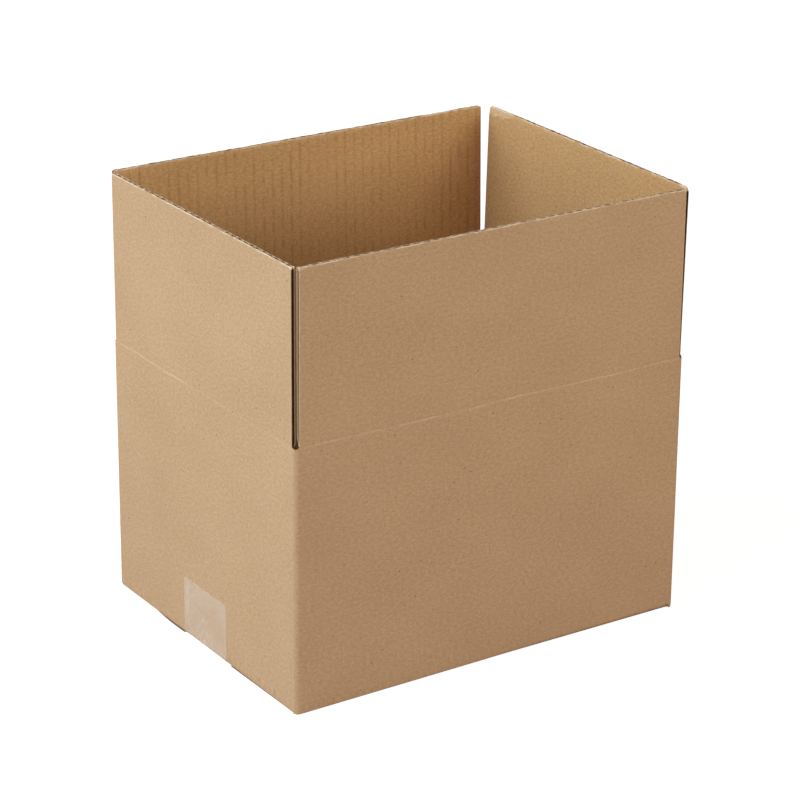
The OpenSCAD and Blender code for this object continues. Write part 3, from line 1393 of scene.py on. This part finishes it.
@dataclass
class BottomFlap:
    """A bottom flap with its fold and the strip of wall just above it.

    The fold's outer radius goes from radius_low to radius_high, and lift_high raises its high end.
    """

    board: Board
    panel: Panel
    seam_z: float
    reach: float
    seed: int
    radius_low: float = 1.5 * MM
    radius_high: float = 1.5 * MM
    lift_high: float = 0.0
    edge_zone: float = 3.0 * MM
    bridge: float = 1.2 * MM
    end_zone: float = 1.5 * MM

    def _section(self) -> np.ndarray:
        """Rows of the section, from the wall down round the fold to the free edge.

        Returns:
            For each row of points: the share of the fold's radius in the outer face's depth and
            in its height, the rest of that depth and height, and the inner face's depth and height.
        """
        t, foot, past = self.board.thickness, self.panel.foot_z, self.bridge
        wall = np.array([self.seam_z, t + foot + 0.8 * MM])
        turn = np.linspace(0.0, QUARTER, 11)[1:]
        bridge = np.linspace(0.0, 1.0, 6)[1:]
        edge = self.reach - self.edge_zone
        flat = np.concatenate([np.linspace(t + past, edge, 12)[1:],
                               self.reach - self.edge_zone * np.linspace(1, 0, 7)[1:] ** 1.5])
        cosine, sine = np.cos(turn), np.sin(turn)
        bend = self.board.inner_bend
        stretches = [
            (0.0, 0.0, 0.0, wall, t, wall),
            (1 - cosine, 1 - sine, 0.0, foot, t - bend * cosine, foot + t - bend * sine),
            (1 - bridge, 0.0, bridge * (t + past), foot, t + past * bridge, foot + t),
            (0.0, 0.0, flat, foot, flat, foot + t),
        ]
        return np.concatenate([np.stack(np.broadcast_arrays(*one)) for one in stretches], axis=1)

    def sheet(self, step: float, coarse: bool) -> Sheet:
        """The flap's outer and inner face, from the wall down round the fold to the free edge.

        Args:
            step: Width of a column.
            coarse: True for the fluted sheet, whose edge is set back.

        Returns:
            The stretch of board.
        """
        panel, board, t = self.panel, self.board, self.board.thickness
        folded_d, folded_z, fixed_d, fixed_z, inner_d, inner_z = self._section()
        width = panel.high - panel.low
        s = np.linspace(panel.low, panel.high, int(width / step) + 1)[:, None]
        share = (s - panel.low) / width
        widened = np.clip(share / 0.62, 0, 1)
        radius = self.radius_low + (self.radius_high - self.radius_low) * widened
        outer_d, outer_z = fixed_d + radius * folded_d, fixed_z + radius * folded_z
        low_down = smooth((self.seam_z - outer_z) / (self.seam_z - panel.foot_z - t))
        hang = low_down * smooth((t - outer_d) / (0.5 * t))
        if not panel.side.is_long:
            outer_z = outer_z - board.fold_drop(panel.place(s, 0.0, 0.0)[..., 1]) * hang
        outer_z = outer_z + self.lift_high * smooth(share * 1.6 - 0.6) * hang

        near_edge = within(self.reach - inner_d, self.edge_zone)[None, :]
        rough, fine = Unevenness(self.seed), Unevenness(self.seed + 50)
        pinch = (rough.bumps(s, 0.2, 9 * MM) * 0.5 + fine.bumps(s, 0.4, 2 * MM) * 0.25) * MM
        lift = pinch * near_edge
        back = (0.1 + 0.12 * fine.at(s, 0.8, 1.8 * MM)) * MM * near_edge
        bare = np.zeros((s.size, inner_d.size))
        if coarse:
            back = back + 0.2 * MM * near_edge
            bare = bare + 0.5 * within(self.reach - inner_d, 0.6 * MM)
        outer = panel.place(s, outer_d - back, outer_z + lift * 0.3)
        inner = panel.place(s, inner_d - back, inner_z - lift)
        end = within(np.minimum(s - panel.low, panel.high - s), self.end_zone)
        wear = 0.4 * near_edge + 0.12 * end + 0.10 * folded_d * (1 - folded_d) * 4
        up = self.seam_z - lengths(inner_d, inner_z)
        return Sheet(outer[:, ::-1], inner[:, ::-1], board.run(panel, s), up[::-1],
                     np.clip(wear, 0, 1)[:, ::-1], bare[:, ::-1])

    def build(self, workshop: Workshop) -> None:
        """Makes the flap's liners and fluted sheet.

        Args:
            workshop: The shared finishes and tools.
        """
        board, parts = self.board, MeshParts()
        parts.liners(board, self.sheet(board.column * 1.3, False))
        ribbed = self.sheet(board.pitch / board.columns_a_flute, True)
        name = f"{self.panel.side.word}_bottom_flap"
        for piece in workshop.board_pieces(name, "box_body", parts, ribbed):
            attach(piece, "carton")


@dataclass
class Tape:
    """The strip of clear tape along the bottom seam and up both short walls."""

    board: Board
    finish: bpy.types.Material
    film: float = 0.05 * MM
    lift: float = 0.035 * MM
    under: float = 0.02 * MM
    bend: float = 1.58 * MM
    cell: float = 0.62 * MM
    bend_top: float = 4.2 * MM
    slope: float = 2.4 * MM
    hem: float = 0.8 * MM
    whorl_y: float = -1.0 * MM
    whorl_reach: float = 25 * MM
    ring: float = 6.6 * MM

    def _path(self, half: float, tail: float) -> tuple[np.ndarray, np.ndarray, np.ndarray]:
        """Line of the strip's outer side, seen from the front.

        Args:
            half: Distance of its tails from the middle.
            tail: Height of the strip's ends.

        Returns:
            x and z of each point from one end to the other, and 1 where it rides on a lower fold.
        """
        turn = np.linspace(0.0, QUARTER, 9)
        rise = np.linspace(tail, self.bend_top, int((tail - self.bend_top) / self.cell))
        slope = np.linspace(0.0, 1.0, 4)[1:]
        x = np.concatenate([0 * rise + half, half - self.bend * (1 - np.cos(turn)),
                            half - self.bend - slope * self.slope])
        z = np.concatenate([rise, self.bend * (1 - np.sin(turn)), self.under * slope])
        rides = np.concatenate([0 * rise, 0 * turn + 1, 1 - slope])
        flat = np.linspace(x[-1], -x[-1], 42)[1:-1]
        return (np.concatenate([x, flat, -x[::-1]]),
                np.concatenate([z, 0 * flat + self.under, z[::-1]]),
                np.concatenate([rides, 0 * flat, rides[::-1]]))

    def build(self) -> None:
        """Makes the strip with its fine wrinkles."""
        low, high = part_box("bottom_tape")
        x, z, rides = self._path(self.board.half_l + self.lift + self.film, high.z)
        length = lengths(x, z)
        y = np.linspace(low.y, high.y, int((high.y - low.y) / self.cell))[:, None]
        out = np.stack([-np.gradient(z, length), np.gradient(x, length)])
        out /= np.linalg.norm(out, axis=0)
        foot = self.board.panel(Side.LEFT).foot_z
        folds = foot - self.board.fold_drop(y) - self.lift - self.film
        height = z + folds * rides
        outer, inner = (
            np.stack(np.broadcast_arrays(x - out[0] * d, y, height - out[1] * d), axis=-1)
            for d in (0.0, self.film))
        wear = self._wear(y - low.y, high.y - y, z, rides, length)
        # The wrinkles are also added to the stored milkiness, as painted highlights along them.
        wrinkle_glint = self._wrinkles(y, z[None, :] + 3 * MM * rides[None, :])
        wear = np.clip(wear + wrinkle_glint, 0, 1)
        parts = MeshParts()
        keep = np.ones((y.size - 1, x.size - 1), bool)
        parts.sheet(inner, outer, cell_corners(y, length), keep, (wear, wear),
                    (Finish.OUTSIDE,) * 4)
        piece = parts.object("clear_tape", [self.finish])
        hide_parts("bottom_tape")
        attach(piece, "carton")
        report(piece)

    def _wear(self, from_low: np.ndarray, from_high: np.ndarray, z: np.ndarray, rides: np.ndarray,
              length: np.ndarray) -> np.ndarray:
        """Milkiness of the strip's cut sides and ends, of its folds and of a band near one side.

        Args:
            from_low: Distance from its front side.
            from_high: Distance from its back side.
            z: Height.
            rides: 1 where it rides on a lower fold.
            length: Distance from its first end.

        Returns:
            The milkiness of each point.
        """
        side = within(np.minimum(from_low, from_high), self.hem)
        end = within(np.minimum(length, length[-1] - length), self.hem)
        band = smooth((5.6 * MM - from_high) / (0.5 * MM)) * smooth((z - 4 * MM) / (18 * MM))
        fold = rides * within(z, 1.4 * MM)
        return 0.22 * side + 0.20 * end + 0.42 * band + 0.5 * fold

    def _wrinkles(self, y: np.ndarray, z: np.ndarray) -> np.ndarray:
        """Fine arched wrinkles above the bend, one inside another.

        Args:
            y: Place across the strip.
            z: Height.

        Returns:
            Height of the wrinkles, 0 to 1, which also makes the film milkier along them as a
            painted highlight.
        """
        bow = Unevenness(21).at(y, z, 9 * MM) * 1.5 * MM
        ring = np.hypot((y - self.whorl_y) / 0.46, z + 1 * MM) + bow
        arch = np.clip(0.5 + 0.5 * np.cos(ring / self.ring * TURN), 0, 1) ** 2
        window = smooth((self.whorl_reach - ring) / (7 * MM)) * smooth((z - 1 * MM) / (3 * MM))
        return arch * window * (0.8 + 0.5 * Unevenness(22).at(y, z, 6 * MM))


@dataclass
class Carton:
    """The whole box."""

    board: Board
    workshop: Workshop
    seam_low: float = 8 * MM
    seam_high: float = 152 * MM
    slot_low: float = 0.1 * MM
    slot_cut: float = 0.5 * MM
    meeting_gap: float = 0.5 * MM

    def build(self) -> None:
        """Builds the walls, flaps and tape."""
        board, shop = self.board, self.workshop
        slots = board.base + self.slot_low, board.score_z - self.slot_cut
        tape_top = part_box("bottom_tape")[1].z
        Walls(board, self.seam_low, self.seam_high, *slots, tape_top).build(shop)
        tops, bottoms = self._top_flaps(*board.panels), self._bottom_flaps()
        for index, panel in enumerate(board.panels):
            side = panel.side
            TopFlap(board, panel, self.seam_high, 100 + index, **tops[side]).build(shop)
            reach = board.half_w - self.meeting_gap + (0.0 if side.is_long else board.inset)
            BottomFlap(board, panel, self.seam_low, reach, 200 + index,
                       **bottoms.get(side, {})).build(shop)
        Tape(board, shop.tape).build()

    def _top_flaps(self, front: Panel, right: Panel, back: Panel, left: Panel) -> dict[Side, dict]:
        """What is special about each top flap: its corners, its ends and its damage.

        Args:
            front: The front wall.
            right: The right wall.
            back: The back wall.
            left: The left wall.

        Returns:
            Fields of TopFlap for each side.
        """
        return {
            Side.FRONT: {"corner_low": 0.3 * MM, "corner_high": 2.0 * MM, "pressed_ends": 1.5,
                         "damage": [Damage(front.low, 6.5 * MM, 5 * MM, scuff=0.45, lip=1.6 * MM)]},
            Side.RIGHT: {"corner_low": 2.0 * MM, "corner_high": 0.5 * MM, "settle_low": 0.9,
                         "damage": [Damage(right.high, 30 * MM, 17 * MM, 0.0, 0.2 * MM, 0.5 * MM,
                                           bare=0.9, scuff=0.36, lip=4.3 * MM),
                                    Damage(right.low, 7 * MM, 6 * MM, 0.1 * MM, 0.1 * MM, 0.5 * MM,
                                           bare=0.6, scuff=0.45, lip=1.2 * MM)]},
            Side.BACK: {"longer": 1.6 * MM, "pressed_ends": 1.5,
                        "damage": [Damage(back.low + 30 * MM, 16 * MM, 9 * MM, 0.1 * MM, 0.2 * MM,
                                          0.5 * MM, bare=0.2)]},
            Side.LEFT: {"corner_low": 1.6 * MM, "corner_high": 0.3 * MM,
                        "damage": [Damage(left.high, 4 * MM, 4 * MM, scuff=0.35, lip=1.0 * MM)]},
        }

    def _bottom_flaps(self) -> dict[Side, dict]:
        """What is special about the long bottom flaps: their folds.

        Returns:
            Fields of BottomFlap for each side.
        """
        return {
            Side.FRONT: {"radius_low": 0.4 * MM, "radius_high": 3.0 * MM, "lift_high": 0.45 * MM},
            Side.BACK: {"radius_low": 3.0 * MM, "radius_high": 3.0 * MM},
        }


@dataclass
class Studio:
    """White floor, soft lights and the camera of the photograph.

    shade_x and shade_y are the half sizes of the ground that the box hides from the light.
    """

    frame_px: float = 800.0
    focal_px: float = 3085.1
    azimuth: float = -33.623
    elevation: float = 21.408
    roll: float = 0.499
    offset_right: float = 3.126 * MM
    offset_up: float = 120.041 * MM
    distance: float = 1887.28 * MM
    sensor: float = 36.0
    floor_reach: float = 6.0
    floor_gap: float = 0.02 * MM
    shade_x: float = 133.2 * MM
    shade_y: float = 100.5 * MM
    aim_z: float = 0.12

    def build(self) -> None:
        """Makes the floor, lights and camera."""
        self._camera()
        self._floor()
        self._world()
        self._area("key", (-1.7, 0.25, 1.0), 2.2, 45.8, (0.87, 1.0, 0.995))
        self._area("front_fill", (0.7, -2.2, 0.9), 0.9, 24.2, (0.985, 1.0, 0.84))
        bpy.context.scene.view_settings.view_transform = "Standard"

    def _camera(self) -> None:
        """Places the camera where the photograph was taken from."""
        a, e, r = (math.radians(v) for v in (self.azimuth, self.elevation, self.roll))
        back = Vector((math.sin(a) * math.cos(e), -math.cos(a) * math.cos(e), math.sin(e)))
        level = Vector((math.cos(a), math.sin(a), 0.0))
        upright = back.cross(level)
        right = level * math.cos(r) + upright * math.sin(r)
        up = upright * math.cos(r) - level * math.sin(r)
        place = right * self.offset_right + up * self.offset_up + back * self.distance
        turn = Matrix((right, up, back)).transposed().to_4x4()
        data = bpy.data.cameras.new("camera")
        data.sensor_width = self.sensor
        data.lens = self.sensor * self.focal_px / self.frame_px
        data.clip_start, data.clip_end = 0.05, 50.0
        camera = add_object("camera", data)
        camera.matrix_world = Matrix.Translation(place) @ turn
        bpy.context.scene.camera = camera

    def _open_ground(self, b: Paint) -> Value:
        """Tells the ground under the box, which draws in beside the tape, from all other ground.

        Args:
            b: The floor's nodes.

        Returns:
            0 under the box, and 1 elsewhere.
        """
        at = b.node("ShaderNodeTexCoord", {}, {}).outputs["Object"]
        place = b.node("ShaderNodeSeparateXYZ", {}, {0: at})
        x, y = (Value(b, place.outputs[axis]) for axis in (0, 1))
        untaped = abs(y + 1.8 * MM).between(24 * MM, 28 * MM)
        tight = (1.0 - untaped).larger(y.between(38 * MM, 84 * MM))
        past_x, past_y = abs(x) - self.shade_x + tight * 3.0 * MM, abs(y) - self.shade_y
        return past_x.larger(past_y).between(0.0, 0.5 * MM)

    def _floor(self) -> None:
        """Makes the white floor, which keeps the box's soft shadow with painted brown shade under
        the box, and can't be seen from below.
        """
        r = self.floor_reach
        mesh = bpy.data.meshes.new("floor")
        mesh.from_pydata([(-r, -r, 0), (r, -r, 0), (r, r, 0), (-r, r, 0)], [], [(0, 1, 2, 3)])
        floor = add_object("floor", mesh)
        floor.location.z = -self.floor_gap
        b = Paint("floor_white")
        seen, open_ground = b.seen(), self._open_ground(b)
        # Painted shade: the ground under the box is brown and darker, so the contact shadow at its
        # edge takes the box's colour.
        colour = b.mix(open_ground, (0.42, 0.30, 0.21), (0.55, 0.55, 0.55))
        paint = b.node("ShaderNodeBsdfDiffuse", {}, {"Color": colour})
        white = {"Color": (1.0, 1.0, 1.0, 1.0), "Strength": 0.86}
        glow = b.node("ShaderNodeEmission", {}, white)
        bright = b.node("ShaderNodeAddShader", {}, {0: paint, 1: glow})
        lamp = b.node("ShaderNodeEmission", {}, {"Color": (1.0, 0.95, 0.9, 1.0), "Strength": 0.3})
        hidden = (1.0 - seen) * (1.0 - open_ground)
        under = b.node("ShaderNodeNewGeometry", {}, {}).outputs["Backfacing"]
        clear = b.node("ShaderNodeBsdfTransparent", {}, {})
        shader = paint
        for factor, other in ((seen * open_ground, bright), (hidden, lamp), (under, clear)):
            shader = b.node("ShaderNodeMixShader", {}, {0: factor, 1: shader, 2: other})
        b.node("ShaderNodeOutputMaterial", {}, {0: shader})
        mesh.materials.append(b.material)

    def _world(self) -> None:
        """Lights the box evenly from all round, and shows a plain pale room to the camera."""
        world = bpy.data.worlds.new("white_room")
        world.use_nodes = True
        b = Nodes(world.node_tree)
        warm = {"Color": (1.0, 0.57, 0.57, 1.0), "Strength": 0.21}
        soft = b.node("ShaderNodeBackground", {}, warm)
        pale = b.node("ShaderNodeBackground", {}, {"Strength": 1.0})
        mixed = b.node("ShaderNodeMixShader", {}, {0: b.seen(), 1: soft, 2: pale})
        b.node("ShaderNodeOutputWorld", {}, {0: mixed})
        bpy.context.scene.world = world

    def _area(self, name: str, place: tuple, size: float, power: float, colour: Colour) -> None:
        """Adds a square soft light aimed at the box's middle.

        Args:
            name: The light's name.
            place: Where it stands.
            size: Length of its sides.
            power: Its power in watts.
            colour: Its colour.
        """
        data = bpy.data.lights.new(name, "AREA")
        data.size, data.energy, data.color = size, power, colour
        light = add_object(name, data)
        light.location = place
        light.rotation_mode = "QUATERNION"
        aim = Vector((0, 0, self.aim_z)) - Vector(place)
        light.rotation_quaternion = aim.to_track_quat("-Z", "Y")


def write_sizes() -> None:
    """Updates the scene's view layer."""
    bpy.context.view_layer.update()


def main() -> None:
    """Builds the carton and the studio."""
    logging.basicConfig(level=logging.INFO, format="%(name)s: %(message)s")
    board = Board()
    Carton(board, Workshop(board)).build()
    Studio().build()
    write_sizes()


if __name__ == "__main__":
    main()
